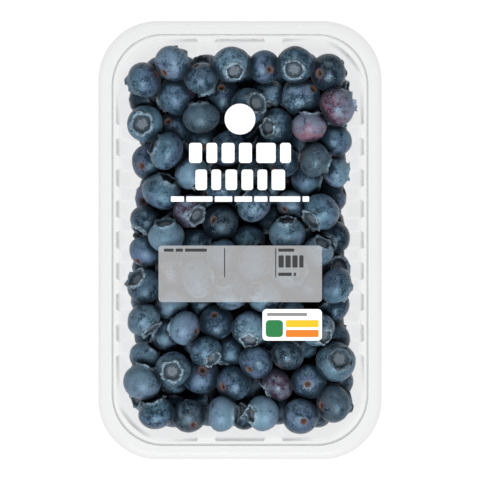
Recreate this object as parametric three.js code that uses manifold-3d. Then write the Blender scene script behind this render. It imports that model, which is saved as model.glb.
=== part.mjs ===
// A punnet of blueberries: a clear ribbed tray, the heap of fruit in it, and the clear film that is
// heat-sealed across its flange. It lies flat, in millimetres, with +Z up and its length along Y.
import * as THREE from "three";
import { mergeVertices } from "three/addons/utils/BufferGeometryUtils.js";
import Module from "manifold-3d";

const wasm = await Module();
wasm.setup();

// Driving dimensions of the tray
const FLANGE_WIDTH = 121.5;
const FLANGE_LENGTH = 188;
const FLANGE_CORNER = 25.3;
const TRAY_HEIGHT = 58;
const WALL = 0.5;

// The flange, from its outer edge inwards: a lip that turns down, the flat that the film is sealed to,
// and a ledge one small step lower
const LIP_WIDTH = 2.1;
const LIP_DROP = 1.5;
const SEAL_WIDTH = 4.1;
const STEP_DROP = 1.3;
const STEP_SLOPE = 0.2;
const LEDGE_WIDTH = 1.8;

// The wall and the base
const DRAFT = 6;
const BASE_ROUND = 5.5;
const FOOT_WIDTH = 7;
const PANEL_SLOPE = 1.6;
const PANEL_RISE = 1.2;
const CORNER_TIGHTENING = 0.6;
const CORNER_STEPS = 6;

// Upright ribs pressed into the walls, and a shallow crescent in each corner
const RIB_DEPTH = 1.3;
const RIB_FLANK = 1;
const SIDE_RIBS = 8;
const SIDE_RIB_PITCH = 13.3;
const SIDE_RIB_WIDTH = 5.2;
const END_RIBS = 2;
const END_RIB_PITCH = 28.8;
const END_RIB_WIDTH = 6.8;
const CRESCENT_DEPTH = 0.8;

// The film, cut along the inner edge of the lip
const FILM_THICKNESS = 0.2;

// The fruit
const BERRY_COUNT = 250;
const SMALLEST_RADIUS = 6.6;
const LARGEST_RADIUS = 9.2;
const FLATNESS = 0.87;
const PACKING_SHARE = 0.94;
const BERRY_CLEARANCE = 0.7;
const HEADSPACE = 2.2;

// The core inside the heap, and how the berries that are fused on it are picked and sized
const CORE_MARGIN = 6;
const CORE_COVER = 11;
const CORE_CORNER = 3;
const CORE_CORNER_STEPS = 3;
const LEAST_SHOWN = 4.2;
const TOP_BERRY_SIDES = 8;
const TOP_BERRY_BANDS = 5;
const TOP_BERRY_SWELL = 1.01;
const SIDE_BERRY_SWELL = 1.04;

// How the heap settles: berries start in loose layers, sink and spread by small steps and push each
// other apart
const HEAP_SEED = 20117;
const START_ACROSS = 5;
const START_ALONG = 9;
const START_PITCH = 17;
const START_JITTER = 5;
const SINKING_PASSES = 260;
const SINKING_STEP = 0.3;
const FIRMING_PASSES = 160;
const PUSH_SHARE = 0.35;
const SPREAD_RATE = 0.001;

// Insets from the flange's outer edge that several parts share
const SEAL_INSET = LIP_WIDTH + SEAL_WIDTH;
const LEDGE_INSET = SEAL_INSET + STEP_SLOPE;
const WALL_TOP_INSET = LEDGE_INSET + LEDGE_WIDTH;
const WALL_FOOT_INSET = WALL_TOP_INSET + DRAFT;
const BASE_INSET = WALL_FOOT_INSET + BASE_ROUND;
const LEDGE_HEIGHT = TRAY_HEIGHT - STEP_DROP;

const UP = new THREE.Vector3(0, 0, 1);

// Seeded random numbers from 0 to 1
function randomDraws(seed) {
  const MODULUS = 2147483647;
  const MULTIPLIER = 16807;
  let state = seed;
  return () => {
    state = (state * MULTIPLIER) % MODULUS;
    return state / MODULUS;
  };
}

// Places along a side where its ribs begin and end, each with its share of the rib's depth
function ribStations(count, pitch, width) {
  const stations = [];
  for (let i = 0; i < count; i += 1) {
    const middle = (i - (count - 1) / 2) * pitch;
    stations.push([middle - width / 2 - RIB_FLANK, 0]);
    stations.push([middle - width / 2, 1]);
    stations.push([middle + width / 2, 1]);
    stations.push([middle + width / 2 + RIB_FLANK, 0]);
  }
  return stations;
}

const SIDE_STATIONS = ribStations(SIDE_RIBS, SIDE_RIB_PITCH, SIDE_RIB_WIDTH);
const END_STATIONS = ribStations(END_RIBS, END_RIB_PITCH, END_RIB_WIDTH);

// One closed ring round the tray, anticlockwise from above. relief is how far the ribs show there.
function ring(inset, height, relief) {
  const halfWidth = FLANGE_WIDTH / 2 - inset;
  const halfLength = FLANGE_LENGTH / 2 - inset;
  const radius = FLANGE_CORNER - CORNER_TIGHTENING * inset;
  const points = [];
  for (let side = 0; side < 4; side += 1) {
    const turn = (side * Math.PI) / 2;
    const isLong = side % 2 === 0;
    const reach = isLong ? halfWidth : halfLength;
    const along = (isLong ? halfLength : halfWidth) - radius;
    for (const [place, share] of isLong ? SIDE_STATIONS : END_STATIONS) {
      const out = reach - relief * share * RIB_DEPTH;
      points.push(new THREE.Vector3(out, place, height).applyAxisAngle(UP, turn));
    }
    for (let step = 0; step <= CORNER_STEPS; step += 1) {
      const angle = (step / CORNER_STEPS) * (Math.PI / 2);
      const crescent = Math.max(0, Math.sin(2 * angle) * 2 - 1) * CRESCENT_DEPTH * relief;
      const bend = radius - crescent;
      const x = reach - radius + bend * Math.cos(angle);
      const y = along + bend * Math.sin(angle);
      points.push(new THREE.Vector3(x, y, height).applyAxisAngle(UP, turn));
    }
  }
  return points;
}

// A closed skin over rings that run from the middle of the upper face, over the rim, to the middle below
function loft(rings, firstMiddle, lastMiddle) {
  const count = rings[0].length;
  const positions = [firstMiddle, ...rings.flat(), lastMiddle].flatMap((p) => [p.x, p.y, p.z]);
  const at = (level, place) => 1 + level * count + (place % count);
  const faces = [];
  for (let j = 0; j < count; j += 1) {
    faces.push(0, at(0, j), at(0, j + 1));
    for (let i = 0; i + 1 < rings.length; i += 1) {
      faces.push(at(i, j), at(i + 1, j), at(i + 1, j + 1));
      faces.push(at(i, j), at(i + 1, j + 1), at(i, j + 1));
    }
    faces.push(at(rings.length - 1, j), positions.length / 3 - 1, at(rings.length - 1, j + 1));
  }
  const geometry = new THREE.BufferGeometry();
  geometry.setAttribute("position", new THREE.Float32BufferAttribute(positions, 3));
  geometry.setIndex(faces);
  return geometry;
}

function trayGeometry() {
  const bend = BASE_ROUND * (1 - Math.SQRT1_2);
  const panelInset = BASE_INSET + FOOT_WIDTH + PANEL_SLOPE;
  const inside = [
    ring(panelInset, PANEL_RISE + WALL, 0),
    ring(BASE_INSET + FOOT_WIDTH, WALL, 0),
    ring(BASE_INSET, WALL, 0),
    ring(WALL_FOOT_INSET + bend, WALL + bend, 0.5),
    ring(WALL_FOOT_INSET, WALL + BASE_ROUND, 1),
    ring(WALL_TOP_INSET, LEDGE_HEIGHT, 1),
    ring(LEDGE_INSET, LEDGE_HEIGHT, 0),
    ring(SEAL_INSET, TRAY_HEIGHT, 0),
    ring(LIP_WIDTH, TRAY_HEIGHT, 0),
    ring(0, TRAY_HEIGHT - LIP_DROP, 0),
  ];
  const outside = [
    ring(WALL, TRAY_HEIGHT - LIP_DROP, 0),
    ring(LIP_WIDTH, TRAY_HEIGHT - WALL, 0),
    ring(SEAL_INSET - WALL, TRAY_HEIGHT - WALL, 0),
    ring(LEDGE_INSET - WALL, LEDGE_HEIGHT - WALL, 0),
    ring(WALL_TOP_INSET - WALL, LEDGE_HEIGHT - WALL, 1),
    ring(WALL_FOOT_INSET - WALL, WALL + BASE_ROUND, 1),
    ring(WALL_FOOT_INSET - WALL + bend, bend, 0.5),
    ring(BASE_INSET, 0, 0),
    ring(BASE_INSET + FOOT_WIDTH, 0, 0),
    ring(panelInset, PANEL_RISE, 0),
  ];
  const upperMiddle = new THREE.Vector3(0, 0, PANEL_RISE + WALL);
  const lowerMiddle = new THREE.Vector3(0, 0, PANEL_RISE);
  return loft([...inside, ...outside], upperMiddle, lowerMiddle);
}

// A rectangle with round corners, as an outline
function roundedOutline(halfWidth, halfLength, radius) {
  const x = halfWidth - radius;
  const y = halfLength - radius;
  const outline = new THREE.Shape();
  outline.absarc(x, y, radius, 0, Math.PI / 2);
  outline.absarc(-x, y, radius, Math.PI / 2, Math.PI);
  outline.absarc(-x, -y, radius, Math.PI, 1.5 * Math.PI);
  outline.absarc(x, -y, radius, 1.5 * Math.PI, 2 * Math.PI);
  return outline;
}

function filmGeometry() {
  const halfWidth = FLANGE_WIDTH / 2 - LIP_WIDTH;
  const halfLength = FLANGE_LENGTH / 2 - LIP_WIDTH;
  const radius = FLANGE_CORNER - CORNER_TIGHTENING * LIP_WIDTH;
  return new THREE.ExtrudeGeometry(roundedOutline(halfWidth, halfLength, radius), {
    depth: FILM_THICKNESS,
    bevelEnabled: false,
    curveSegments: CORNER_STEPS,
  });
}

// The room that the tray leaves at a height, held off the wall by the ribs, as half sizes and a corner
// radius
function roomAt(height, held = RIB_DEPTH) {
  const sunk = DRAFT * (1 - height / LEDGE_HEIGHT);
  const inset = WALL_TOP_INSET + held + sunk;
  return {
    halfWidth: FLANGE_WIDTH / 2 - inset,
    halfLength: FLANGE_LENGTH / 2 - inset,
    corner: FLANGE_CORNER - CORNER_TIGHTENING * inset,
  };
}

// How far the nearest rib holds a berry off the wall. Between two ribs a berry nests a little.
function ribHold(place, radius, count, pitch, width) {
  const nearest = Math.min(Math.max(Math.floor(place / pitch + count / 2), 0), count - 1);
  const middle = (nearest - (count - 1) / 2) * pitch;
  const aside = Math.min(Math.max(Math.abs(place - middle) - (width + RIB_FLANK) / 2, 0), radius);
  return Math.max(RIB_DEPTH - radius + Math.sqrt(radius * radius - aside * aside), 0);
}

// Keeps a berry inside the tray and below the film
function keepInside(berry) {
  const margin = berry.radius + BERRY_CLEARANCE;
  const floor = WALL + PANEL_RISE + margin;
  const ceiling = TRAY_HEIGHT - HEADSPACE - berry.radius;
  berry.z = Math.min(Math.max(berry.z, floor), ceiling);
  const room = roomAt(berry.z, 0);
  const holdX = ribHold(berry.y, berry.radius, SIDE_RIBS, SIDE_RIB_PITCH, SIDE_RIB_WIDTH);
  const holdY = ribHold(berry.x, berry.radius, END_RIBS, END_RIB_PITCH, END_RIB_WIDTH);
  const corner = Math.max(room.corner - margin, 1);
  const straightX = room.halfWidth - holdX - margin - corner;
  const straightY = room.halfLength - holdY - margin - corner;
  const overX = Math.max(Math.abs(berry.x) - straightX, 0);
  const overY = Math.max(Math.abs(berry.y) - straightY, 0);
  const over = Math.max(Math.hypot(overX, overY), 1e-9);
  const crescent = Math.max((4 * overX * overY) / (over * over) - 1, 0);
  const limit = corner - crescent * CRESCENT_DEPTH;
  if (over > limit) {
    const cut = 1 - limit / over;
    berry.x -= Math.sign(berry.x) * overX * cut;
    berry.y -= Math.sign(berry.y) * overY * cut;
  }
}

// One pass in which every two berries that overlap push each other apart
function pushApart(berries) {
  const moves = berries.map(() => [0, 0, 0]);
  for (let i = 0; i < berries.length; i += 1) {
    for (let j = i + 1; j < berries.length; j += 1) {
      const a = berries[i];
      const b = berries[j];
      const dx = b.x - a.x;
      const dy = b.y - a.y;
      const dz = b.z - a.z;
      const reach = (a.radius + b.radius) * PACKING_SHARE;
      const apart = Math.sqrt(dx * dx + dy * dy + dz * dz);
      if (apart < reach) {
        const push = (PUSH_SHARE * (reach - apart)) / apart;
        [dx, dy, dz].forEach((d, axis) => {
          moves[i][axis] -= d * push;
          moves[j][axis] += d * push;
        });
      }
    }
  }
  berries.forEach((berry, i) => {
    berry.x += moves[i][0];
    berry.y += moves[i][1];
    berry.z += moves[i][2];
  });
}

// The heap: where each berry has come to rest, with its radius and the way its crown points
function settledBerries() {
  const draw = randomDraws(HEAP_SEED);
  const berries = [];
  for (let n = 0; n < BERRY_COUNT; n += 1) {
    const across = n % START_ACROSS;
    const along = Math.floor(n / START_ACROSS) % START_ALONG;
    const layer = Math.floor(n / (START_ACROSS * START_ALONG));
    const jitter = () => (draw() - 0.5) * 2 * START_JITTER;
    const berry = {
      x: (across - (START_ACROSS - 1) / 2) * START_PITCH + jitter(),
      y: (along - (START_ALONG - 1) / 2) * START_PITCH + jitter(),
      z: (layer + 0.5) * START_PITCH + jitter(),
    };
    berry.radius = SMALLEST_RADIUS + (LARGEST_RADIUS - SMALLEST_RADIUS) * (draw() + draw()) / 2;
    const lean = Math.acos(2 * draw() - 1);
    const heading = 2 * Math.PI * draw();
    berry.axis = new THREE.Vector3().setFromSphericalCoords(1, lean, heading);
    berries.push(berry);
  }
  for (let pass = 0; pass < SINKING_PASSES + FIRMING_PASSES; pass += 1) {
    if (pass < SINKING_PASSES) {
      berries.forEach((berry) => {
        berry.z -= SINKING_STEP;
      });
    }
    pushApart(berries);
    berries.forEach((berry) => {
      berry.x *= 1 + SPREAD_RATE;
      berry.y *= 1 + SPREAD_RATE;
      keepInside(berry);
    });
  }
  return berries;
}

// A smaller block inside the heap, which the outer berries are fused on
function coreGeometry() {
  const level = (height, margin) => {
    const room = roomAt(height);
    const outline = roundedOutline(room.halfWidth - margin, room.halfLength - margin, CORE_CORNER);
    const points = outline.getPoints(CORE_CORNER_STEPS).slice(0, -1);
    return points.map((p) => new THREE.Vector3(p.x, p.y, height));
  };
  const bottom = WALL + PANEL_RISE + CORE_MARGIN;
  const top = TRAY_HEIGHT - HEADSPACE - CORE_COVER;
  const rings = [level(top, CORE_MARGIN), level(bottom, CORE_MARGIN)];
  return loft(rings, new THREE.Vector3(0, 0, top), new THREE.Vector3(0, 0, bottom));
}

// A berry with few sides: rounder where it lies on top, plainer at the sides and underneath
function berryGeometry(berry, isOnTop) {
  const shape = isOnTop
    ? new THREE.SphereGeometry(1, TOP_BERRY_SIDES, TOP_BERRY_BANDS)
    : new THREE.IcosahedronGeometry(1, 0);
  const size = berry.radius * (isOnTop ? TOP_BERRY_SWELL : SIDE_BERRY_SWELL);
  shape.scale(size, size, size * FLATNESS);
  shape.applyQuaternion(new THREE.Quaternion().setFromUnitVectors(UP, berry.axis));
  shape.translate(berry.x, berry.y, berry.z);
  return shape;
}

// A closed geometry as a solid that can be joined and cut
function solidOf(geometry) {
  const bare = new THREE.BufferGeometry();
  bare.setAttribute("position", geometry.getAttribute("position"));
  if (geometry.index) bare.setIndex(geometry.index);
  const merged = mergeVertices(bare, 1e-4);
  const mesh = new wasm.Mesh({
    numProp: 3,
    vertProperties: new Float32Array(merged.attributes.position.array),
    triVerts: new Uint32Array(merged.index.array),
  });
  return new wasm.Manifold(mesh);
}

// A solid as a geometry again
function geometryOf(solid) {
  const mesh = solid.getMesh();
  const geometry = new THREE.BufferGeometry();
  geometry.setAttribute("position", new THREE.BufferAttribute(mesh.vertProperties, 3));
  geometry.setIndex(new THREE.BufferAttribute(mesh.triVerts, 1));
  return geometry;
}

// True where a berry stands far enough out of the core to be seen from above
function showsAbove(berry) {
  const coreTop = TRAY_HEIGHT - HEADSPACE - CORE_COVER;
  return berry.z + berry.radius - coreTop > LEAST_SHOWN;
}

// True where a berry stands far enough out of the core to be seen from a side or from below
function showsAround(berry) {
  const room = roomAt(berry.z);
  const coreBottom = WALL + PANEL_RISE + CORE_MARGIN;
  const acrossBy = Math.abs(berry.x) - (room.halfWidth - CORE_MARGIN);
  const alongBy = Math.abs(berry.y) - (room.halfLength - CORE_MARGIN);
  const belowBy = coreBottom - berry.z;
  return Math.max(acrossBy, alongBy, belowBy) + berry.radius > LEAST_SHOWN;
}

function heapGeometry() {
  let heap = solidOf(coreGeometry());
  for (const berry of settledBerries()) {
    const isOnTop = showsAbove(berry);
    if (isOnTop || showsAround(berry)) {
      heap = heap.add(solidOf(berryGeometry(berry, isOnTop)));
    }
  }
  return geometryOf(heap);
}

const clearPlastic = new THREE.MeshStandardMaterial({
  color: 0xe9ecee,
  roughness: 0.15,
  metalness: 0,
  transparent: true,
  opacity: 0.3,
});
const clearFilm = new THREE.MeshStandardMaterial({
  color: 0xf4f6f7,
  roughness: 0.1,
  metalness: 0,
  transparent: true,
  opacity: 0.12,
});
const blueberry = new THREE.MeshStandardMaterial({ color: 0x3f566d, roughness: 0.6, metalness: 0 });

function piece(name, geometry, material) {
  const mesh = new THREE.Mesh(geometry, material);
  mesh.name = name;
  return mesh;
}

const punnet = new THREE.Group();
punnet.add(piece("tray", trayGeometry(), clearPlastic));
punnet.add(piece("berries", heapGeometry(), blueberry));
const film = piece("film", filmGeometry(), clearFilm);
film.position.z = TRAY_HEIGHT;
punnet.add(film);

export default punnet;
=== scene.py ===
# %% [markdown]
# # A sealed punnet of blueberries
# The pack is a clear thermoformed tray, about 250 loose berries and a clear printed film that is
# sealed across the flange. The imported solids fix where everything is. This script gives each of them its
# real surface: a smooth ribbed tray, berries with crowns, scars and bloom, and a thin film with its print.

import math

import bmesh
import bpy
import numpy as np
from mathutils import Matrix, Vector, noise


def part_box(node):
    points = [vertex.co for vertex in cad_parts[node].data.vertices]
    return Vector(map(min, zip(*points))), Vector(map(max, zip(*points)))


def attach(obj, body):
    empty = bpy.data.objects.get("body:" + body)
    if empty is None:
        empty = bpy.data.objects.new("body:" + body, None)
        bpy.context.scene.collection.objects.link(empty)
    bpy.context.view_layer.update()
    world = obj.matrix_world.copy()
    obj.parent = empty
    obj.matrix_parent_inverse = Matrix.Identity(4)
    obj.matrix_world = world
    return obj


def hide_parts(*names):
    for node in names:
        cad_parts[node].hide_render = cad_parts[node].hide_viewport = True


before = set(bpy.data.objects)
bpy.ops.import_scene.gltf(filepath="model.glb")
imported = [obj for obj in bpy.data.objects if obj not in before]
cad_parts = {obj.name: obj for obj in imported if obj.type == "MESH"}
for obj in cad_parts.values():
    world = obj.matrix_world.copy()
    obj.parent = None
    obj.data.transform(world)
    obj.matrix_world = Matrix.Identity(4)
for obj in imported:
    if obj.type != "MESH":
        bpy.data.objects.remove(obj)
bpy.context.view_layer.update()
print("solids:", sorted(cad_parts))

# %% [markdown]
# ## Sizes
# Everything is worked out in millimetres and brought to metres when a piece is finished. The tray's outer
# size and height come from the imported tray, and the rest are the sizes that the tray was drawn with.

# %% Driving dimensions
MM = 0.001
tray_low, tray_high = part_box("tray")
FLANGE_WIDTH = round((tray_high.x - tray_low.x) / MM, 1)
FLANGE_LENGTH = round((tray_high.y - tray_low.y) / MM, 1)
TRAY_HEIGHT = round(tray_high.z / MM, 1)
FLANGE_CORNER = 25.3
WALL = 0.5
LIP_WIDTH = 2.1
LIP_DROP = 1.5
SEAL_WIDTH = 4.1
STEP_DROP = 1.3
STEP_SLOPE = 0.2
LEDGE_WIDTH = 1.8
DRAFT = 6
BASE_ROUND = 5.5
FOOT_WIDTH = 7
PANEL_SLOPE = 1.6
PANEL_RISE = 1.2
CORNER_TIGHTENING = 0.6
RIB_DEPTH = 1.3
RIB_FLANK = 1.0
# The ribs of a side and of an end: how many, how far apart from middle to middle, and how wide
SIDE_RIBS = (8, 13.3, 5.2)
END_RIBS = (2, 28.8, 6.8)
CRESCENT_DEPTH = 0.8
SEAL_INSET = LIP_WIDTH + SEAL_WIDTH
LEDGE_INSET = SEAL_INSET + STEP_SLOPE
WALL_TOP_INSET = LEDGE_INSET + LEDGE_WIDTH
WALL_FOOT_INSET = WALL_TOP_INSET + DRAFT
BASE_INSET = WALL_FOOT_INSET + BASE_ROUND
PANEL_INSET = BASE_INSET + FOOT_WIDTH + PANEL_SLOPE
LEDGE_HEIGHT = TRAY_HEIGHT - STEP_DROP
print("tray:", FLANGE_WIDTH, "by", FLANGE_LENGTH, "by", TRAY_HEIGHT, "mm")

# %% [markdown]
# ## Where each berry lies
# A heap could be shaken down by a rigid body simulation, but that takes time and would not land where the
# solids are. So the same settling rule as theirs is used: berries start in loose layers with seeded draws,
# sink and spread by small steps, push each other apart and are kept inside the walls. Numpy does all pairs
# at once.

# %% Settling rule
BERRY_COUNT = 250
SMALLEST_RADIUS = 6.6
LARGEST_RADIUS = 9.2
FLATNESS = 0.87
PACKING_SHARE = 0.94
BERRY_CLEARANCE = 0.7
HEADSPACE = 2.2
HEAP_SEED = 20117
START_ACROSS = 5
START_ALONG = 9
START_PITCH = 17
START_JITTER = 5
SINKING_PASSES = 260
SINKING_STEP = 0.3
FIRMING_PASSES = 160
PUSH_SHARE = 0.35
SPREAD_RATE = 0.001


def seeded_draws(seed):
    """A function that gives the next random number from 0 to 1."""
    state = seed

    def draw():
        nonlocal state
        state = (state * 16807) % 2147483647
        return state / 2147483647

    return draw


def loose_layers(draw):
    """The berries before they settle: middles, radii, and the way each crown points."""
    middles, radii, crowns = [], [], []
    for n in range(BERRY_COUNT):
        across = n % START_ACROSS
        along = (n // START_ACROSS) % START_ALONG
        layer = n // (START_ACROSS * START_ALONG)
        start = (across - (START_ACROSS - 1) / 2, along - (START_ALONG - 1) / 2, layer + 0.5)
        middles.append([s * START_PITCH + (draw() - 0.5) * 2 * START_JITTER for s in start])
        radii.append(SMALLEST_RADIUS + (LARGEST_RADIUS - SMALLEST_RADIUS) * (draw() + draw()) / 2)
        lean = math.acos(2 * draw() - 1)
        heading = 2 * math.pi * draw()
        sideways = math.sin(lean)
        crowns.append((sideways * math.sin(heading), math.cos(lean), sideways * math.cos(heading)))
    return np.array(middles), np.array(radii), np.array(crowns)


def room_at(height, held=RIB_DEPTH):
    """Half width, half length and corner radius of the room at a height. held keeps it off the wall."""
    sunk = DRAFT * (1 - height / LEDGE_HEIGHT)
    inset = WALL_TOP_INSET + held + sunk
    corner = FLANGE_CORNER - CORNER_TIGHTENING * inset
    return FLANGE_WIDTH / 2 - inset, FLANGE_LENGTH / 2 - inset, corner


# %% Push apart and keep inside
def push_apart(middles, radii):
    """One pass in which every two berries that overlap push each other apart."""
    gaps = middles[None, :, :] - middles[:, None, :]
    reach = (radii[:, None] + radii[None, :]) * PACKING_SHARE
    apart = np.sqrt((gaps**2).sum(axis=2))
    np.fill_diagonal(apart, 2 * LARGEST_RADIUS)
    push = np.where(apart < reach, PUSH_SHARE * (reach - apart) / apart, 0)
    return middles - (gaps * push[:, :, None]).sum(axis=1)


def rib_hold(places, radii, count, pitch, width):
    """How far the nearest rib holds each berry off the wall. Between two ribs it nests a little."""
    nearest = np.clip(np.floor(places / pitch + count / 2), 0, count - 1)
    middle = (nearest - (count - 1) / 2) * pitch
    aside = np.clip(np.abs(places - middle) - (width + RIB_FLANK) / 2, 0, radii)
    return np.maximum(RIB_DEPTH - radii + np.sqrt(radii * radii - aside * aside), 0)


def keep_inside(middles, radii):
    """Keeps the berries inside the walls, above the floor and below the film."""
    margin = radii + BERRY_CLEARANCE
    middles[:, 2] = np.clip(middles[:, 2], WALL + PANEL_RISE + margin, TRAY_HEIGHT - HEADSPACE - radii)
    half_width, half_length, corner = room_at(middles[:, 2], 0)
    half_width = half_width - rib_hold(middles[:, 1], radii, *SIDE_RIBS)
    half_length = half_length - rib_hold(middles[:, 0], radii, *END_RIBS)
    corner = np.maximum(corner - margin, 1)
    straight = np.stack([half_width - margin - corner, half_length - margin - corner], axis=1)
    over = np.maximum(np.abs(middles[:, :2]) - straight, 0)
    distance = np.maximum(np.hypot(over[:, 0], over[:, 1]), 1e-9)
    crescent = np.maximum(4 * over[:, 0] * over[:, 1] / distance**2 - 1, 0)
    limit = corner - crescent * CRESCENT_DEPTH
    cut = np.where(distance > limit, 1 - limit / distance, 0)
    middles[:, :2] -= np.sign(middles[:, :2]) * over * cut[:, None]
    return middles


def settle(middles, radii):
    """Lets the loose layers sink and firm up."""
    for i in range(SINKING_PASSES + FIRMING_PASSES):
        if i < SINKING_PASSES:
            middles[:, 2] -= SINKING_STEP
        middles = push_apart(middles, radii)
        middles[:, :2] *= 1 + SPREAD_RATE
        middles = keep_inside(middles, radii)
    return middles


middles, radii, crowns = loose_layers(seeded_draws(HEAP_SEED))
middles = settle(middles, radii)
print("heap from", middles.min(axis=0).round(1), "to", middles.max(axis=0).round(1), "mm")

# %% [markdown]
# ## Helpers for materials
# Every finish here is a small tree of nodes round one Principled shader. These helpers add a node, set its
# inputs and join it up in one call, so that each material below reads as a short recipe.


# %% Node helpers
class Recipe:
    """A material under construction."""

    def __init__(self, name):
        self.material = bpy.data.materials.new(name)
        self.material.use_nodes = True
        self.tree = self.material.node_tree
        self.tree.nodes.clear()
        self.output = self.tree.nodes.new("ShaderNodeOutputMaterial")

    def add(self, kind, inputs=None, **settings):
        """Adds a node. An input is a number, a colour, or another node's output to link from."""
        made = self.tree.nodes.new("ShaderNode" + kind)
        for key, value in settings.items():
            setattr(made, key, value)
        for key, value in (inputs or {}).items():
            if isinstance(value, bpy.types.NodeSocket):
                self.tree.links.new(value, made.inputs[key])
            else:
                made.inputs[key].default_value = value
        return made

    def attribute(self, name, output="Fac"):
        """A value that is painted on the mesh."""
        return self.add("Attribute", attribute_name=name).outputs[output]

    def noise(self, vector, scale, detail=3, roughness=0.55, distortion=0.0):
        """A noise pattern from 0 to 1."""
        inputs = {"Vector": vector, "Scale": scale, "Detail": detail, "Roughness": roughness}
        return self.add("TexNoise", {**inputs, "Distortion": distortion}).outputs["Fac"]

    def ramp(self, value, low, high, to_low=0.0, to_high=1.0):
        """Stretches a value from low..high to to_low..to_high, smoothly and clamped."""
        inputs = {"Value": value, "From Min": low, "From Max": high, "To Min": to_low, "To Max": to_high}
        return self.add("MapRange", inputs, interpolation_type="SMOOTHSTEP").outputs["Result"]

    def stops(self, value, rows):
        """A colour that runs through rows of place and colour."""
        made = self.add("ValToRGB", {"Fac": value})
        bands = made.color_ramp.elements
        for place, colour in rows[1:-1]:
            bands.new(place).color = colour
        bands[0].position, bands[0].color = rows[0]
        bands[-1].position, bands[-1].color = rows[-1]
        return made.outputs["Color"]

    def math(self, operation, first, second=0.0):
        """One sum on two values."""
        return self.add("Math", {0: first, 1: second}, operation=operation).outputs[0]

    def blend(self, *parts):
        """A weighted sum of values, given as pairs of value and weight."""
        total = 0.0
        for value, weight in parts:
            total = self.add("Math", {0: value, 1: weight, 2: total}, operation="MULTIPLY_ADD").outputs[0]
        return total

    def mix(self, share, first, second):
        """Colour first where share is 0 and second where it is 1."""
        return self.add("Mix", {"Factor": share, 6: first, 7: second}, data_type="RGBA").outputs[2]

    def bump(self, height, strength, distance):
        """A bumpy surface from a pattern, with its depth in millimetres."""
        inputs = {"Height": height, "Strength": strength, "Distance": distance * MM}
        return self.add("Bump", inputs).outputs[0]

    def finish(self, shader):
        """Joins the last shader to the output and gives the material back."""
        self.tree.links.new(shader.outputs[0], self.output.inputs["Surface"])
        return self.material


def rgb(red, green, blue):
    """A colour as a shader socket takes it."""
    return (red, green, blue, 1.0)


print("material helpers ready")

# %% [markdown]
# ## Finishing a piece
# Each piece is drawn in millimetres in its own bmesh. Finishing turns the faces outwards, brings it to
# metres, and lets the piece ride on the pack's one body, because nothing moves here.


# %% Piece helper
def finish_piece(name, bm, materials, smooth=True, outward=True):
    """Turns a bmesh in millimetres into a finished object of the pack."""
    if outward:
        bmesh.ops.recalc_face_normals(bm, faces=bm.faces)
    bmesh.ops.scale(bm, vec=(MM, MM, MM), verts=bm.verts)
    mesh = bpy.data.meshes.new(name)
    bm.to_mesh(mesh)
    bm.free()
    for material in materials:
        mesh.materials.append(material)
    if smooth:
        mesh.shade_smooth()
    made = bpy.data.objects.new(name, mesh)
    bpy.context.scene.collection.objects.link(made)
    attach(made, "root")
    print(name, "has", len(mesh.polygons), "faces")
    return made


# %% [markdown]
# ## The tray
# A thermoformed tray is one thin sheet drawn into a mould, so every edge is soft and the wall is the same
# thickness all over. It could be extruded ring by ring, but the ribs come and go on the way down. So
# closed rings are laid at each level, bridged to a skin and rounded with a bevel, and the skin gets its
# thickness at the end.

# %% Where the ribs stand
FLANK_STEPS = 4


def rib_stations(count, pitch, width):
    """Places along a side, each with its share of the rib's depth. The flanks are soft S curves."""
    stations = []
    for i in range(count):
        middle = (i - (count - 1) / 2) * pitch
        for way in (-1, 1):
            for k in range(FLANK_STEPS + 1):
                share = k / FLANK_STEPS if way < 0 else 1 - k / FLANK_STEPS
                place = middle + way * (width / 2 + RIB_FLANK * (1 - share))
                stations.append((place, share * share * (3 - 2 * share)))
    return stations


side_stations = rib_stations(*SIDE_RIBS)
end_stations = rib_stations(*END_RIBS)
print("stations:", len(side_stations), "on a side,", len(end_stations), "on an end")

# %% One ring round the tray
CORNER_STEPS = 16


def tray_ring(bm, inset, height, relief=0.0, shade=0.0):
    """A closed loop of edges at one level of the tray, with the ribs and corner crescents pressed in.

    shade is painted shade: how dark the bend there looks. Where the ribs show, it lies between them, and at
    the corners after the long sides it follows the crescent as a painted dark reflection.
    """
    dark = bm.verts.layers.float.get("shade") or bm.verts.layers.float.new("shade")
    corner = FLANGE_CORNER - CORNER_TIGHTENING * inset
    loop = []
    for side in range(4):
        is_long = side % 2 == 0
        size = (FLANGE_WIDTH, FLANGE_LENGTH) if is_long else (FLANGE_LENGTH, FLANGE_WIDTH)
        reach, along = size[0] / 2 - inset, size[1] / 2 - inset - corner
        flat = []
        for place, share in side_stations if is_long else end_stations:
            flat.append((reach - relief * share * RIB_DEPTH, place, 1 - relief * share))
        for step in range(CORNER_STEPS + 1):
            angle = step / CORNER_STEPS * math.pi / 2
            crescent = max(0, 2 * math.sin(2 * angle) - 1)
            bend = corner - crescent * CRESCENT_DEPTH * relief
            # A painted dark reflection streak along the crescent, only in the corners after the long sides
            shown = 1 if not relief else crescent if is_long else 0
            flat.append((reach - corner + bend * math.cos(angle), along + bend * math.sin(angle), shown))
        turn = Matrix.Rotation(side * math.pi / 2, 3, "Z")
        for x, y, shown in flat:
            made = bm.verts.new(turn @ Vector((x, y, height)))
            made[dark] = shade * shown
            loop.append(made)
    return [bm.edges.new((loop[i - 1], loop[i])) for i in range(len(loop))]
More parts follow.
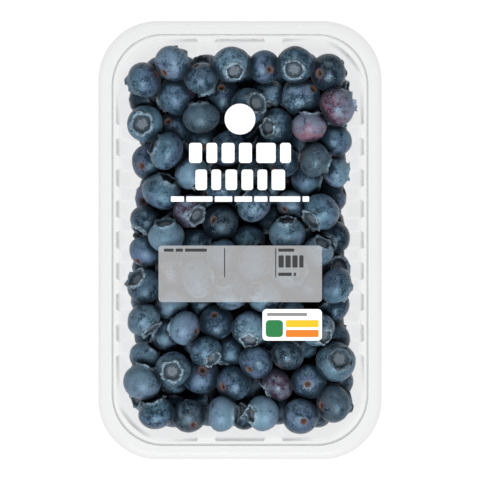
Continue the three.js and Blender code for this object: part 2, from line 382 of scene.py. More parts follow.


# %% The tray's skin
# One row per ring, from the lip inwards: inset, height, how far the ribs show, softness, painted shade
TICK_SHARE = 0.14
TICK_DROP = TICK_SHARE * (LEDGE_HEIGHT - WALL - BASE_ROUND)
LINE = 0.35
TRAY_LEVELS = [
    (0, TRAY_HEIGHT - LIP_DROP, 0, 0, 0.15),
    (LIP_WIDTH, TRAY_HEIGHT, 0, 0.7, 0.05),
    (SEAL_INSET - LINE, TRAY_HEIGHT, 0, 0, 0),
    (SEAL_INSET, TRAY_HEIGHT, 0, 0.15, 0.58),
    (LEDGE_INSET, LEDGE_HEIGHT, 0, 0.15, 0.4),
    (LEDGE_INSET + LINE, LEDGE_HEIGHT, 0, 0, 0),
    (WALL_TOP_INSET - LEDGE_WIDTH / 2, LEDGE_HEIGHT, 1, 0, 0),
    (WALL_TOP_INSET, LEDGE_HEIGHT, 1, 0.3, 0.7),
    (WALL_TOP_INSET + TICK_SHARE * DRAFT, LEDGE_HEIGHT - TICK_DROP, 1, 0, 0),
    (WALL_FOOT_INSET, WALL + BASE_ROUND, 1, 2.2, 0),
    (WALL_FOOT_INSET + BASE_ROUND * 0.3, WALL + BASE_ROUND * 0.3, 0.5, 1.4, 0),
    (BASE_INSET, WALL, 0, 1.2, 0),
    (BASE_INSET + FOOT_WIDTH, WALL, 0, 0.6, 0),
    (PANEL_INSET, WALL + PANEL_RISE, 0, 0.6, 0),
]
BEND_SEGMENTS = 3


def tray_skin():
    """The inner face of the tray, as one open sheet."""
    bm = bmesh.new()
    loops = []
    for inset, height, relief, _, shade in TRAY_LEVELS:
        loops.append(tray_ring(bm, inset, height, relief, shade))
    for outer, inner in zip(loops, loops[1:]):
        bmesh.ops.bridge_loops(bm, edges=outer + inner)
    bmesh.ops.contextual_create(bm, geom=loops[-1])
    for loop, (_, _, _, softness, _) in zip(loops, TRAY_LEVELS):
        if softness:
            edges = [edge for edge in loop if edge.is_valid]
            bmesh.ops.bevel(
                bm, geom=edges, offset=softness, affect="EDGES",
                segments=BEND_SEGMENTS, profile=0.5, material=-1,
            )
    bmesh.ops.recalc_face_normals(bm, faces=bm.faces)
    if max(bm.faces, key=lambda face: face.calc_area()).normal.z < 0:
        bmesh.ops.reverse_faces(bm, faces=bm.faces)
    return bm


# %% [markdown]
# Clear plastic hardly shows from the front and shows well at a slant, where it mirrors what is round it.
# Glass with refraction would do that too, but it darkens what is inside. So a see-through shader is mixed
# with a glossy one by their angle, and a small fixed share of pale plastic gives the slight milkiness.
# The pale share that grows at a slant is painted reflection of the bright room, and the bends get
# painted grey shade.


# %% Clear plastic
SLANT_FROM = 0.3
# Grey of the painted shade on the bends, mixed in by the shade attribute
BEND_SHADE_GREY = rgb(0.2, 0.2, 0.205)
BEND_SHARE = 0.5
SHEET_WAVES = 90


def clear_plastic(name, tint, milk, edge_share, pale, roughness):
    """A thin clear plastic. milk is how solid it looks from the front, edge_share at a slant, where the
    pale share is painted reflection.
    """
    recipe = Recipe(name)
    place = recipe.add("TexCoord").outputs["Object"]
    waves = recipe.noise(place, SHEET_WAVES, detail=2)
    shade = recipe.attribute("shade")
    sheet = recipe.add("BsdfPrincipled", {
        "Base Color": recipe.mix(shade, pale, BEND_SHADE_GREY),
        "Roughness": roughness,
        "IOR": 1.5,
        "Normal": recipe.bump(waves, 0.08, 0.3),
    })
    through = recipe.add("BsdfTransparent", {"Color": tint})
    slant = recipe.add("LayerWeight", {"Blend": 0.35}).outputs["Facing"]
    # At a slant the pale share grows: painted reflection of the bright surroundings
    haze_and_reflection = recipe.ramp(slant, SLANT_FROM, 1.0, milk, edge_share)
    share = recipe.blend((haze_and_reflection, 1.0), (shade, BEND_SHARE))
    return recipe.finish(recipe.add("MixShader", {0: share, 1: through.outputs[0], 2: sheet.outputs[0]}))


tray_plastic = clear_plastic(
    "tray_plastic", tint=rgb(0.93, 0.931, 0.932), milk=0.07, edge_share=0.09,
    pale=rgb(0.42, 0.421, 0.422), roughness=0.12,
)
tray = finish_piece("tray_shell", tray_skin(), [tray_plastic], outward=False)
sheet = tray.modifiers.new("sheet thickness", "SOLIDIFY")
sheet.thickness = WALL * MM
sheet.offset = -1
sheet.use_even_offset = True
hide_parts("tray")

# %% [markdown]
# ## The film
# The film is a flat sheet, cut along the inner edge of the lip. It could be a thin box with round edges.
# One face is simpler: its four corners are bevelled, and it is pushed up by the thickness. The same helper
# makes every field of print.

# %% Rounded plates
FILM_CLEARANCE = 0.02
FILM_SHEET = 0.1
FILM_CORNER_STEPS = 24


def thicken(bm, face, rise):
    """Raises a flat face to a closed plate."""
    raised = bmesh.ops.extrude_face_region(bm, geom=[face], use_keep_orig=True)
    lifted = [item for item in raised["geom"] if isinstance(item, bmesh.types.BMVert)]
    bmesh.ops.translate(bm, vec=(0, 0, rise), verts=lifted)


def rounded_plate(bm, left, right, bottom, top, corner, low, high, steps=6):
    """A flat plate with round corners, from height low to height high."""
    others = set(bm.faces)
    spans = ((left, bottom), (right, bottom), (right, top), (left, top))
    plate = bm.faces.new([bm.verts.new((x, y, low)) for x, y in spans])
    if corner:
        bmesh.ops.bevel(
            bm, geom=list(plate.verts), offset=corner, affect="VERTICES",
            segments=steps, profile=0.5, material=-1,
        )
        plate = next(face for face in bm.faces if face not in others)
    thicken(bm, plate, high - low)


film_low = TRAY_HEIGHT + FILM_CLEARANCE
film_top = film_low + FILM_SHEET
film_across = FLANGE_WIDTH / 2 - LIP_WIDTH
film_along = FLANGE_LENGTH / 2 - LIP_WIDTH
film_corner = FLANGE_CORNER - CORNER_TIGHTENING * LIP_WIDTH
film_bm = bmesh.new()
rounded_plate(
    film_bm, -film_across, film_across, -film_along, film_along, film_corner,
    film_low, film_top, steps=FILM_CORNER_STEPS,
)
film_plastic = clear_plastic(
    "film_plastic", tint=rgb(0.995, 0.996, 0.998), milk=0.0, edge_share=0.35,
    pale=rgb(0.7, 0.71, 0.72), roughness=0.06,
)
film = finish_piece("film_sheet", film_bm, [film_plastic], smooth=False)
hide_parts("film")

# %% [markdown]
# ## A berry
# A blueberry is an oblate fruit with a shallow stalk scar at one end and a five-lobed crown at the other.
# It could be a sphere with details pushed in, but a turned profile gives the scar, the body and the crown's
# hollow in one go. The crown's rim is then parted into five lobes that lean outwards or fold in.

# %% Turned profile
BODY_FROM = -66
BODY_TO = 50
SCAR_PROFILE = [(0.0, -0.765), (0.06, -0.77), (0.11, -0.80), (0.16, -0.845), (0.24, -0.85)]
# Radius, height and how far a place lies inside the hollow
CROWN_PROFILE = [
    (0.57, 0.73, 0.0),
    (0.55, 0.80, 0.0),
    (0.58, 0.88, 0.0),
    (0.48, 0.87, 0.2),
    (0.43, 0.76, 1.0),
    (0.35, 0.69, 1.0),
    (0.17, 0.705, 1.0),
    (0.0, 0.71, 1.0),
]
LOBES = 5
LOBE_BASE = 0.78
LOBE_RISE = 0.12


def berry_profile(body_steps):
    """Radius, height and hollow from the scar to the middle of the crown, for a berry of radius 1."""
    body = []
    for i in range(body_steps):
        angle = math.radians(BODY_FROM + (BODY_TO - BODY_FROM) * i / (body_steps - 1))
        body.append((math.cos(angle), FLATNESS * math.sin(angle), 0.0))
    return [(radius, height, 0.0) for radius, height in SCAR_PROFILE] + body + CROWN_PROFILE


def part_lobes(bm, flare, notch):
    """Parts the crown's rim into lobes. flare leans them out, or in below 0. notch parts them."""
    for corner in bm.verts:
        above = corner.co.z - LOBE_BASE
        if above > 0:
            lobe = abs(math.cos(LOBES / 2 * math.atan2(corner.co.y, corner.co.x)))
            spread = 1 + flare * lobe * above / LOBE_RISE
            sunk = notch * (1 - lobe) * above
            corner.co = (corner.co.x * spread, corner.co.y * spread, corner.co.z - sunk)


def turned_berry(sides, body_steps, flare, notch):
    """A berry mesh of radius 1 with its crown up."""
    bm = bmesh.new()
    hollow = bm.verts.layers.float.new("hollow")
    chain = []
    for radius, height, inside in berry_profile(body_steps):
        chain.append(bm.verts.new((radius, 0, height)))
        chain[-1][hollow] = inside
    edges = [bm.edges.new(pair) for pair in zip(chain, chain[1:])]
    bmesh.ops.spin(
        bm, geom=chain + edges, cent=(0, 0, 0), axis=(0, 0, 1),
        angle=2 * math.pi, steps=sides, use_merge=True,
    )
    bmesh.ops.remove_doubles(bm, verts=bm.verts, dist=0.001)
    bmesh.ops.recalc_face_normals(bm, faces=bm.faces)
    part_lobes(bm, flare, notch)
    mesh = bpy.data.meshes.new("turned_berry")
    bm.to_mesh(mesh)
    bm.free()
    return mesh


# %% Crown forms
BERRY_SIDES = 25
BODY_STEPS = 9
PLAIN_SIDES = 10
PLAIN_STEPS = 6
crown_forms = {
    "open": turned_berry(BERRY_SIDES, BODY_STEPS, 0.3, 0.7),
    "upright": turned_berry(BERRY_SIDES, BODY_STEPS, 0.05, 0.8),
    "folded": turned_berry(BERRY_SIDES, BODY_STEPS, -0.3, 0.4),
}
plain_berry = turned_berry(PLAIN_SIDES, PLAIN_STEPS, 0.1, 0.6)
for form, mesh in crown_forms.items():
    print(form, "berry has", len(mesh.polygons), "faces")
print("plain berry has", len(plain_berry.polygons), "faces")

# %% [markdown]
# ## The heap
# Real berries differ in size, roundness, crown and bloom, and a few are still purple. So every settled
# place gets its own turn, a lopsided scale and a soft dent pattern, all from seeded draws. Berries that
# show from above are fine ones, sorted by their bloom. The rest of the heap's outside gets plainer ones,
# and the berries inside it get a darker skin of painted shade.

# %% Which berries show
SHOWN_DEPTH = 16
OUTER_REACH = 5
LOOK_SEED = 733


def shows_above(middle, radius):
    """True where a berry's top lies near enough to the film to be seen through it."""
    return middle[2] + radius > TRAY_HEIGHT - SHOWN_DEPTH


def shows_around(middle, radius):
    """True where a berry lies against a wall or the base."""
    half_width, half_length, _ = room_at(middle[2])
    across, along = half_width - abs(middle[0]), half_length - abs(middle[1])
    return min(across, along, middle[2]) < radius + OUTER_REACH


on_top = [n for n in range(BERRY_COUNT) if shows_above(middles[n], radii[n])]
lower = [n for n in range(BERRY_COUNT) if n not in on_top]
outer = [n for n in lower if shows_around(middles[n], radii[n])]
print(len(on_top), "berries on top,", len(outer), "round the outside,", len(lower) - len(outer), "inside")

# %% Hints from the real pack
# Roughly where a purple berry lies in the real pack, in millimetres from the middle
PURPLE_PLACES = [(27, 54), (-14, 75), (43, 52), (-22, 8), (45, -14), (-35, -13), (14, -65)]


def nearest_on_top(place):
    """The top berry that lies nearest to a place."""
    return min(on_top, key=lambda n: math.dist(place, middles[n][:2]))


purple = {nearest_on_top(place) for place in PURPLE_PLACES}
print("purple berries:", sorted(purple))


# %% Add one berry
RUB_SHADE_REACH = 3.2
DENT = 0.08
DENT_SCALE = 1.1
BULGE_SHARE = 0.4
RAGGED = 0.075
TORN_SCALE = 5
CRUMB_SCALE = 19
CRUMB_SHARE = 1.3
# Without a seed, noise_vector starts from the clock, and the crowns would differ at each run
noise.seed_set(LOOK_SEED)


def layer(kind, name):
    """A layer of values on the corners, made when it isn't there yet."""
    return kind.get(name) or kind.new(name)


def rubbed_shade_at(places, n):
    """How near each place on berry n is to another berry, where the bloom rubs off and painted shade
    darkens it: 0 to 1.
    """
    others = np.delete(np.arange(BERRY_COUNT), n)
    apart = np.linalg.norm(places[:, None, :] - middles[None, others, :], axis=2) - radii[others]
    return np.clip(1 - apart.min(axis=1) / RUB_SHADE_REACH, 0, 1)


def torn(place, seed):
    """How far the crown's rim is torn away from its turned place."""
    tear = noise.noise_vector(place * TORN_SCALE + seed)
    return RAGGED * (tear + CRUMB_SHARE * noise.noise_vector(place * CRUMB_SCALE))


def add_berry(bm, mesh, n, draw):
    """Joins berry n to a piece: its own turn, lopsided shape, dents, and what its finish reads."""
    own = layer(bm.verts.layers.float_vector, "own")
    tone = layer(bm.verts.layers.float, "tone")
    rubbed_shade = layer(bm.verts.layers.float, "rubbed_shade")
    before = len(bm.verts)
    bm.from_mesh(mesh)
    bm.verts.ensure_lookup_table()
    corners = bm.verts[before:]
    seed = Vector((n * 7.1, n * 3.7, n * 5.3))
    shade = draw()
    wide = 0.99 + 0.05 * draw()
    tall = 0.92 + 0.12 * draw()
    for corner in corners:
        corner[own] = corner.co
        corner[tone] = shade
        dent = noise.noise(corner.co * DENT_SCALE + seed) * DENT
        if corner.co.z > LOBE_BASE:
            corner.co += torn(corner.co, seed)
        corner.co *= 1 + min(dent, 0.0) + max(dent, 0.0) * BULGE_SHARE
    spin = Matrix.Rotation(2 * math.pi * draw(), 3, "Z")
    turn = Vector((0, 0, 1)).rotation_difference(Vector(crowns[n])).to_matrix()
    shape = Matrix.Diagonal((wide, wide * (0.97 + 0.06 * draw()), tall))
    bmesh.ops.transform(bm, matrix=(turn @ spin @ shape * radii[n]).to_4x4(), verts=corners)
    bmesh.ops.translate(bm, vec=middles[n], verts=corners)
    places = np.array([corner.co for corner in corners])
    # Near other berries the bloom wears off and the skin gets painted shade
    for corner, share in zip(corners, rubbed_shade_at(places, n)):
        corner[rubbed_shade] = share


# %% [markdown]
# ## The berries' finish
# The skin under the bloom is nearly black blue. The bloom is a pale wax, thick where nothing rubs it,
# blotchy, speckled, wiped in streaks and gone where berries touch, and there the skin also gets painted
# shade, near black, for the shade between berries. The scar is corky brown with a dark middle, and the
# hollow inside the crown's pale torn rim is a dry, grey blue disc, painted darker near the rim as the
# shade under it. A painted texture could show all that too, but patterns of noise on each berry's own
# coordinates never repeat, and every berry of a piece can share one recipe.


# %% Coat of bloom
RIM = rgb(0.25, 0.33, 0.39)
DULL = rgb(0.062, 0.094, 0.118)
# Near black of the painted shade where berries touch
CONTACT_SHADE = rgb(0.002, 0.006, 0.012)
BARE_BELOW = 0.54


def bloom_coat(recipe, own, place, skin, bloom, blush, cover, softness):
    """The skin with its bloom and the painted shade where berries touch, and how waxy it is. cover is how
    much bloom is left.
    """
    broad = recipe.noise(place, 1.3, detail=2, distortion=0.8)
    mottle = recipe.noise(place, 4.8, detail=6, roughness=0.68, distortion=0.9)
    specks = recipe.noise(place, 15, detail=4, roughness=0.65)
    wiped = recipe.add("VectorMath", {0: place, 1: (1.4, 4.2, 2.0)}, operation="MULTIPLY").outputs[0]
    smears = recipe.noise(wiped, 1, detail=4, roughness=0.6, distortion=1.0)
    rubbed_shade = recipe.attribute("rubbed_shade")
    tone = recipe.attribute("tone")
    coarse = recipe.blend((broad, 0.3), (mottle, 0.38), (smears, 0.14))
    left = recipe.blend((coarse, 1.0), (specks, 0.18), (tone, 0.08), (rubbed_shade, -0.16))
    wax = recipe.ramp(left, BARE_BELOW - cover - softness, BARE_BELOW - cover + softness)
    height = recipe.add("SeparateXYZ", {0: own}).outputs["Z"]
    patches = recipe.noise(place, 2.1, detail=3, distortion=1.2)
    unripe = recipe.ramp(recipe.blend((patches, 0.7), (height, -0.2)), 0.26, 0.5)
    lot = recipe.math("FRACT", recipe.math("MULTIPLY", tone, 13))
    dulled = recipe.ramp(lot, 0.74, 0.92, 0.0, 0.45)
    tinted = recipe.mix(dulled, recipe.mix(unripe, bloom, blush), DULL)
    coated = recipe.mix(wax, skin, tinted)
    pitted = recipe.mix(recipe.ramp(specks, 0.28, 0.44, 0.38, 0.0), coated, skin)
    flecked = recipe.mix(recipe.ramp(specks, 0.58, 0.7, 0.0, 0.5), pitted, RIM)
    # Where berries touch, the colour goes towards near black: painted shade between them
    return recipe.mix(recipe.math("MULTIPLY", rubbed_shade, 0.8), flecked, CONTACT_SHADE), wax


# %% Scar and crown
DRY = rgb(0.016, 0.014, 0.015)
WINE = rgb(0.075, 0.02, 0.025)
# How far out from the axis, and the colour there
CORK = [
    (0.0, rgb(0.01, 0.004, 0.003)),
    (0.085, rgb(0.018, 0.007, 0.004)),
    (0.12, rgb(0.13, 0.04, 0.01)),
    (0.15, rgb(0.03, 0.011, 0.007)),
    (0.18, rgb(0.14, 0.09, 0.07)),
    (0.205, rgb(0.05, 0.05, 0.06)),
    (0.26, rgb(0.12, 0.15, 0.19)),
]
# The hollow's colours from the middle out; the dark bands near its edge are painted shade under the rim
HOLLOW = [
    (0.0, rgb(0.06, 0.065, 0.075)),
    (0.05, rgb(0.12, 0.135, 0.155)),
    (0.15, rgb(0.095, 0.11, 0.128)),
    (0.21, rgb(0.125, 0.145, 0.168)),
    (0.27, rgb(0.07, 0.085, 0.1)),
    (0.32, rgb(0.012, 0.016, 0.02)),
    (0.37, rgb(0.05, 0.062, 0.075)),
    (0.43, rgb(0.008, 0.011, 0.015)),
]


def star_shape(recipe, own):
    """How far out from the axis a place on the berry lies, and how near to the middle of a lobe."""
    x, y, _ = recipe.add("SeparateXYZ", {0: own}).outputs
    squares = recipe.blend((recipe.math("MULTIPLY", x, x), 1), (recipe.math("MULTIPLY", y, y), 1))
    radius = recipe.math("SQRT", squares)
    turn = recipe.math("MULTIPLY", recipe.math("ARCTAN2", y, x), LOBES / 2)
    return radius, recipe.math("ABSOLUTE", recipe.math("COSINE", turn))


def scar_and_crown(recipe, own, place, coat):
    """Lays the scar and the crown over a coat. Gives the colour and where it is dry."""
    height = recipe.add("SeparateXYZ", {0: own}).outputs["Z"]
    radius, lobe = star_shape(recipe, own)
    rough = recipe.noise(place, 7, detail=4, roughness=0.7)
    dryness = recipe.math("FRACT", recipe.math("MULTIPLY", recipe.attribute("tone"), 7))
    crumbly = recipe.noise(place, 13, detail=4, roughness=0.75)
    uneven = recipe.blend((radius, 1.0), (rough, 0.3), (crumbly, 0.16), (1.0, -0.23))
    starred = recipe.blend((radius, 1.0), (rough, 0.45), (crumbly, 0.35), (lobe, -0.025), (1.0, -0.375))
    below = recipe.ramp(height, -0.65, -0.55, 1, 0)
    reddish = recipe.ramp(dryness, 0.4, 0.9, 0, 0.4)
    at_blush = recipe.math("MULTIPLY", below, recipe.ramp(uneven, 0.15, 0.5, reddish, 0))
    at_scar = recipe.math("MULTIPLY", below, recipe.ramp(uneven, 0.19, 0.26, 1, 0))
    broken = recipe.ramp(rough, 0.4, 0.62, 0.05, 0.55)
    at_ring = recipe.math("MULTIPLY", recipe.ramp(height, 0.62, 0.74), broken)
    patchy = recipe.ramp(rough, 0.4, 0.58, 0.1, 0.95)
    at_lobes = recipe.math("MULTIPLY", recipe.ramp(height, 0.8, 0.86), patchy)
    scarred = recipe.mix(at_scar, recipe.mix(at_blush, coat, WINE), recipe.stops(uneven, CORK))
    ringed = recipe.mix(at_ring, scarred, RIM)
    lobe_colour = recipe.mix(recipe.ramp(dryness, 0.62, 0.75), RIM, DRY)
    lobed = recipe.mix(at_lobes, ringed, lobe_colour)
    hollow = recipe.attribute("hollow")
    colour = recipe.mix(hollow, lobed, recipe.stops(starred, HOLLOW))
    return colour, recipe.math("MAXIMUM", at_scar, hollow)


# %% Fruit skin
def fruit_skin(name, skin, bloom, blush, cover, softness):
    """A berry finish: bare skin, bloom, its blush, how much bloom is left and how softly it fades."""
    recipe = Recipe(name)
    own = recipe.attribute("own", "Vector")
    apart = {0: recipe.attribute("tone"), 1: (37, 91, 53), 2: own}
    place = recipe.add("VectorMath", apart, operation="MULTIPLY_ADD").outputs[0]
    coat, wax = bloom_coat(recipe, own, place, skin, bloom, blush, cover, softness)
    colour, dry = scar_and_crown(recipe, own, place, coat)
    waxy = recipe.ramp(wax, 0, 1, 0.25, 0.43)
    matt = recipe.blend((waxy, 1.0), (recipe.attribute("rubbed_shade"), 0.4), (dry, 0.35))
    berry = recipe.add("BsdfPrincipled", {
        "Base Color": colour,
        "Roughness": matt,
        "Specular IOR Level": 0.5,
        "Specular Tint": rgb(0.52, 0.8, 1.0),
        "Sheen Weight": 0.08,
        "Sheen Roughness": 0.4,
        "Sheen Tint": rgb(0.75, 0.85, 1.0),
        "Normal": recipe.bump(recipe.noise(place, 9, detail=5, roughness=0.7), 0.45, 0.25),
    })
    return recipe.finish(berry)


SLATE = rgb(0.064, 0.128, 0.182)
VIOLET = rgb(0.07, 0.106, 0.18)
NIGHT = rgb(0.003, 0.01, 0.021)
# One row per kind of berry: bare skin, bloom, its blush, how much bloom is left, how softly it fades
SKINS = {
    "powdery": (rgb(0.012, 0.028, 0.046), rgb(0.1, 0.175, 0.235), rgb(0.108, 0.153, 0.232), 0.045, 0.065),
    "blue": (rgb(0.007, 0.019, 0.032), SLATE, VIOLET, 0.015, 0.085),
    "dark": (rgb(0.002, 0.007, 0.014), rgb(0.036, 0.068, 0.104), rgb(0.042, 0.062, 0.08), 0.0, 0.075),
    "purple": (rgb(0.03, 0.014, 0.03), rgb(0.14, 0.165, 0.23), rgb(0.18, 0.085, 0.12), 0.01, 0.08),
    "outer": (NIGHT, rgb(0.075, 0.135, 0.185), rgb(0.08, 0.115, 0.185), 0.04, 0.08),
    # The inner berries' darker skin and bloom are painted shade, for the shade deep inside the heap
    "inner": (rgb(0.002, 0.006, 0.011), rgb(0.03, 0.054, 0.08), rgb(0.034, 0.05, 0.08), 0.0, 0.085),
}
skins = {kind: fruit_skin(kind + "_skin", *numbers) for kind, numbers in SKINS.items()}
print("skins:", sorted(skins))

# %% Build the heap
# The share of the draws up to which a berry is of that kind or has that crown
KIND_SHARES = {"powdery": 0.3, "blue": 0.76, "dark": 1}
CROWN_SHARES = {"open": 0.35, "upright": 0.65, "folded": 1}


def picked(shares, drawn):
    """The first name whose share is above what was drawn."""
    return next(name for name, share in shares.items() if drawn < share)


draw = seeded_draws(LOOK_SEED)
kinds = {kind: bmesh.new() for kind in skins}
for n in on_top:
    kind, crown = picked(KIND_SHARES, draw()), picked(CROWN_SHARES, draw())
    add_berry(kinds["purple" if n in purple else kind], crown_forms[crown], n, draw)
for n in lower:
    # Berries inside the heap get the darker inner skin, which is painted shade
    add_berry(kinds["outer" if n in outer else "inner"], plain_berry, n, draw)
for kind, bm in kinds.items():
    piece = finish_piece("berries_" + kind, bm, [skins[kind]], outward=False)
    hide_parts("berries")

# %% [markdown]
# The middle of the heap hardly shows, but light must not pass through it. A finer heap in there would cost
# thousands of faces that nobody sees. So a dark block fills the middle, painted near black as the shade
# deep inside the heap: a cube, scaled to the room and bevelled.

# %% Core of the heap
CORE_DEPTH = 25
CORE_INSET = 11
CORE_BEND = 5
core_low = WALL + PANEL_RISE + CORE_INSET
core_high = TRAY_HEIGHT - HEADSPACE - CORE_DEPTH
core_width, core_length, _ = room_at(core_low)
core_half = (core_width - CORE_INSET, core_length - CORE_INSET, (core_high - core_low) / 2)
core_bm = bmesh.new()
bmesh.ops.create_cube(core_bm, size=2)
bmesh.ops.scale(core_bm, vec=core_half, verts=core_bm.verts)
bmesh.ops.translate(core_bm, vec=(0, 0, (core_high + core_low) / 2), verts=core_bm.verts)
bmesh.ops.bevel(
    core_bm, geom=core_bm.edges[:], offset=CORE_BEND, affect="EDGES",
    segments=3, profile=0.5, material=-1,
)
core_recipe = Recipe("heap_shade")
core_place = core_recipe.add("TexCoord").outputs["Object"]
core_mottle = core_recipe.noise(core_place, 120)
# The block's near-black mottle is painted shade for the hidden middle of the heap
core_shade = core_recipe.add("BsdfPrincipled", {
    "Base Color": core_recipe.mix(core_mottle, rgb(0.003, 0.005, 0.009), rgb(0.01, 0.014, 0.022)),
    "Roughness": 0.8,
    "Specular IOR Level": 0.05,
})
core = finish_piece("heap_core", core_bm, [core_recipe.finish(core_shade)])
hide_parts("berries")

# %% [markdown]
# ## The print
# The film is printed with opaque white, a see-through grey field and a small label. Each field of ink is a
# very thin plate on the film, so that it has the crisp edge of print from every side. The marks are plain
# blocks and dashes, with nothing to read in them.

# %% Inks
INK = 0.02
LAYER_GAP = 0.01
WORN_SHARE = 0.97
first_layer = (film_top + LAYER_GAP, film_top + LAYER_GAP + INK)
second_layer = (first_layer[1] + LAYER_GAP, first_layer[1] + LAYER_GAP + INK)


def ink(name, colour, solid=1.0):
    """A printed ink, very slightly mottled. solid is how much one face of its plate covers."""
    recipe = Recipe(name)
    place = recipe.add("TexCoord").outputs["Object"]
    mottle = recipe.noise(place, 900, detail=2)
    worn = recipe.mix(mottle, colour, rgb(*(WORN_SHARE * part for part in colour[:3])))
    covered = recipe.add("BsdfPrincipled", {
        "Base Color": worn,
        "Roughness": recipe.ramp(mottle, 0, 1, 0.4, 0.6),
        "Specular IOR Level": 0.3,
    })
    if solid == 1.0:
        return recipe.finish(covered)
    clear = recipe.add("BsdfTransparent")
    return recipe.finish(recipe.add("MixShader", {0: solid, 1: clear.outputs[0], 2: covered.outputs[0]}))


white_ink = ink("white_ink", rgb(0.82, 0.82, 0.82))
grey_ink = ink("grey_ink", rgb(0.515, 0.52, 0.525), 0.33)
dark_ink = ink("dark_ink", rgb(0.02, 0.02, 0.022))
soft_ink = ink("soft_ink", rgb(0.2, 0.2, 0.2))
green_ink = ink("green_ink", rgb(0.003, 0.15, 0.035))
yellow_ink = ink("yellow_ink", rgb(0.7, 0.42, 0.0))
orange_ink = ink("orange_ink", rgb(0.62, 0.16, 0.0))


def block_row(bm, left, right, bottom, top, widths, gap, corner, layer):
    """A row of blocks between two sides, whose widths follow the given shares."""
    unit = (right - left - gap * (len(widths) - 1)) / sum(widths)
    for width in widths:
        rounded_plate(bm, left, left + width * unit, bottom, top, corner, *layer, steps=3)
        left += width * unit + gap


# %% White marks
BADGE_MIDDLE = (0.0, 51.8)
BADGE_RADIUS = 6.6
white = bmesh.new()
badge_place = Matrix.Translation((*BADGE_MIDDLE, first_layer[0]))
bmesh.ops.create_circle(white, cap_ends=True, radius=BADGE_RADIUS, segments=48, matrix=badge_place)
thicken(white, max(white.faces, key=lambda face: face.calc_area()), INK)
block_row(white, -21.8, 21.8, 33.0, 41.6, (6, 5, 6, 6, 9, 5), 1.9, 1.1, first_layer)
block_row(white, -19.1, 19.3, 21.4, 30.2, (6, 5, 6, 6, 5, 7), 1.9, 1.1, first_layer)
block_row(white, -29.6, 29.6, 16.4, 18.7, (3, 6, 4, 4, 3, 7, 1.5), 1.0, 0.3, first_layer)
# The plain ground of the label
rounded_plate(white, 9.6, 35.1, -43.1, -29.6, 1.8, *first_layer)
finish_piece("white_marks", white, [white_ink], smooth=False)

# %% Grey panel and dark marks
panel = bmesh.new()
rounded_plate(panel, -34.9, 35.1, -26.6, -2.4, 1.5, *first_layer)
finish_piece("grey_panel", panel, [grey_ink], smooth=False)
dark = bmesh.new()
for middle in (-6.6, 15.3):
    rounded_plate(dark, middle - 0.22, middle + 0.22, -15.9, -3.5, 0, *second_layer)
block_row(dark, -32.6, -14.2, -5.0, -3.7, (4, 3, 9), 0.9, 0.2, second_layer)
block_row(dark, 16.4, 23.2, -5.0, -3.7, (1,), 0.9, 0.2, second_layer)
block_row(dark, 16.5, 27.2, -11.8, -6.6, (2, 2, 2, 1.6), 0.7, 0.4, second_layer)
block_row(dark, 16.4, 24.0, -15.4, -14.0, (6, 1), 0.9, 0.2, second_layer)
finish_piece("dark_marks", dark, [dark_ink], smooth=False)

# %% Label colours
# One row per field: name, ink, left, right, bottom and top, and its corner radius
LABEL_FIELDS = [
    ("label_row", soft_ink, (11.6, 28.7, -32.6, -31.2), 0.2),
    ("label_green", green_ink, (11.0, 18.4, -41.6, -34.3), 1.6),
    ("label_yellow", yellow_ink, (19.6, 33.7, -37.4, -34.3), 0.6),
    ("label_orange", orange_ink, (19.6, 33.7, -41.6, -38.5), 0.6),
]
for name, colour, (left, right, bottom, top), corner in LABEL_FIELDS:
    field = bmesh.new()
    rounded_plate(field, left, right, bottom, top, corner, *second_layer)
    finish_piece(name, field, [colour], smooth=False)

# %% [markdown]
# ## Floor, light and camera
# The pack lies on a light table, whose glow takes the shadow away and shines through the clear walls. One
# soft box hangs over it and one stands at its near end, which puts broad highlights low on each berry.
# Three weaker ones at the sides catch the rims. The sky stays dim, so that the gaps between the berries
# are dark.

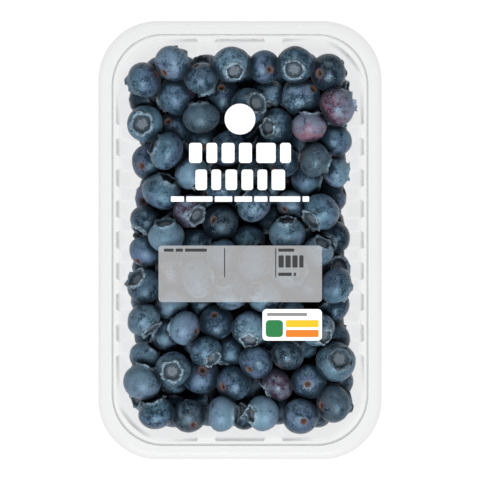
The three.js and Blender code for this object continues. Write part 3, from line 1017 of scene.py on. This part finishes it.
# %% Floor
GLOW = 1.05
FLOOR_REACH = 1.5
floor_bm = bmesh.new()
bmesh.ops.create_grid(floor_bm, x_segments=1, y_segments=1, size=FLOOR_REACH)
floor_mesh = bpy.data.meshes.new("floor")
floor_bm.to_mesh(floor_mesh)
floor_bm.free()
floor_recipe = Recipe("light_table")
floor_mesh.materials.append(floor_recipe.finish(floor_recipe.add("BsdfPrincipled", {
    "Base Color": rgb(0.02, 0.02, 0.02),
    "Roughness": 0.9,
    "Emission Color": rgb(1, 1, 1),
    "Emission Strength": GLOW,
})))
floor = bpy.data.objects.new("floor", floor_mesh)
bpy.context.scene.collection.objects.link(floor)

# %% Light
# One row per soft box: name, heading and lean in degrees, width and depth in metres, watts
LIGHTS = [
    ("over", 270, 26, 1.2, 0.8, 68),
    ("near", 266, 50, 2.2, 0.56, 43),
    ("left", 178, 62, 1.0, 1.0, 12),
    ("right", 5, 62, 1.0, 1.0, 8),
    ("far", 95, 50, 1.2, 0.8, 20),
]
LIGHT_DISTANCE = 2.7
SKY_LIGHT = 0.06
target = Vector((0, 0, TRAY_HEIGHT * MM))
for name, heading, lean, width, depth, power in LIGHTS:
    light = bpy.data.lights.new("soft_box_" + name, "AREA")
    light.shape = "RECTANGLE"
    light.size, light.size_y = width, depth
    light.energy = power
    lamp = bpy.data.objects.new("soft_box_" + name, light)
    away = Vector((math.sin(math.radians(lean)), 0, math.cos(math.radians(lean))))
    away.rotate(Matrix.Rotation(math.radians(heading), 3, "Z"))
    lamp.location = target + away * LIGHT_DISTANCE
    lamp.rotation_euler = away.to_track_quat("Z", "Y").to_euler()
    bpy.context.scene.collection.objects.link(lamp)
world = bpy.data.worlds.new("studio")
world.use_nodes = True
sky = world.node_tree.nodes["Background"].inputs
sky["Color"].default_value = rgb(1, 1, 1)
sky["Strength"].default_value = SKY_LIGHT
bpy.context.scene.world = world
print("soft boxes:", len(LIGHTS))

# %% Camera
PHOTO_SIDE = 480
PIXEL = 0.4284
CAMERA_HEIGHT = 1000
SENSOR = 36
camera_data = bpy.data.cameras.new("camera")
camera_data.sensor_width = SENSOR
camera_data.lens = SENSOR * CAMERA_HEIGHT / (PHOTO_SIDE * PIXEL)
camera_data.clip_start = 0.01
camera_data.clip_end = 10
camera = bpy.data.objects.new("camera", camera_data)
camera.location = (0, 0, (TRAY_HEIGHT + CAMERA_HEIGHT) * MM)
bpy.context.scene.collection.objects.link(camera)
bpy.context.scene.camera = camera
bpy.context.scene.view_settings.view_transform = "Standard"
bpy.context.scene.cycles.transparent_max_bounces = 24
print("lens:", round(camera_data.lens, 1), "mm")
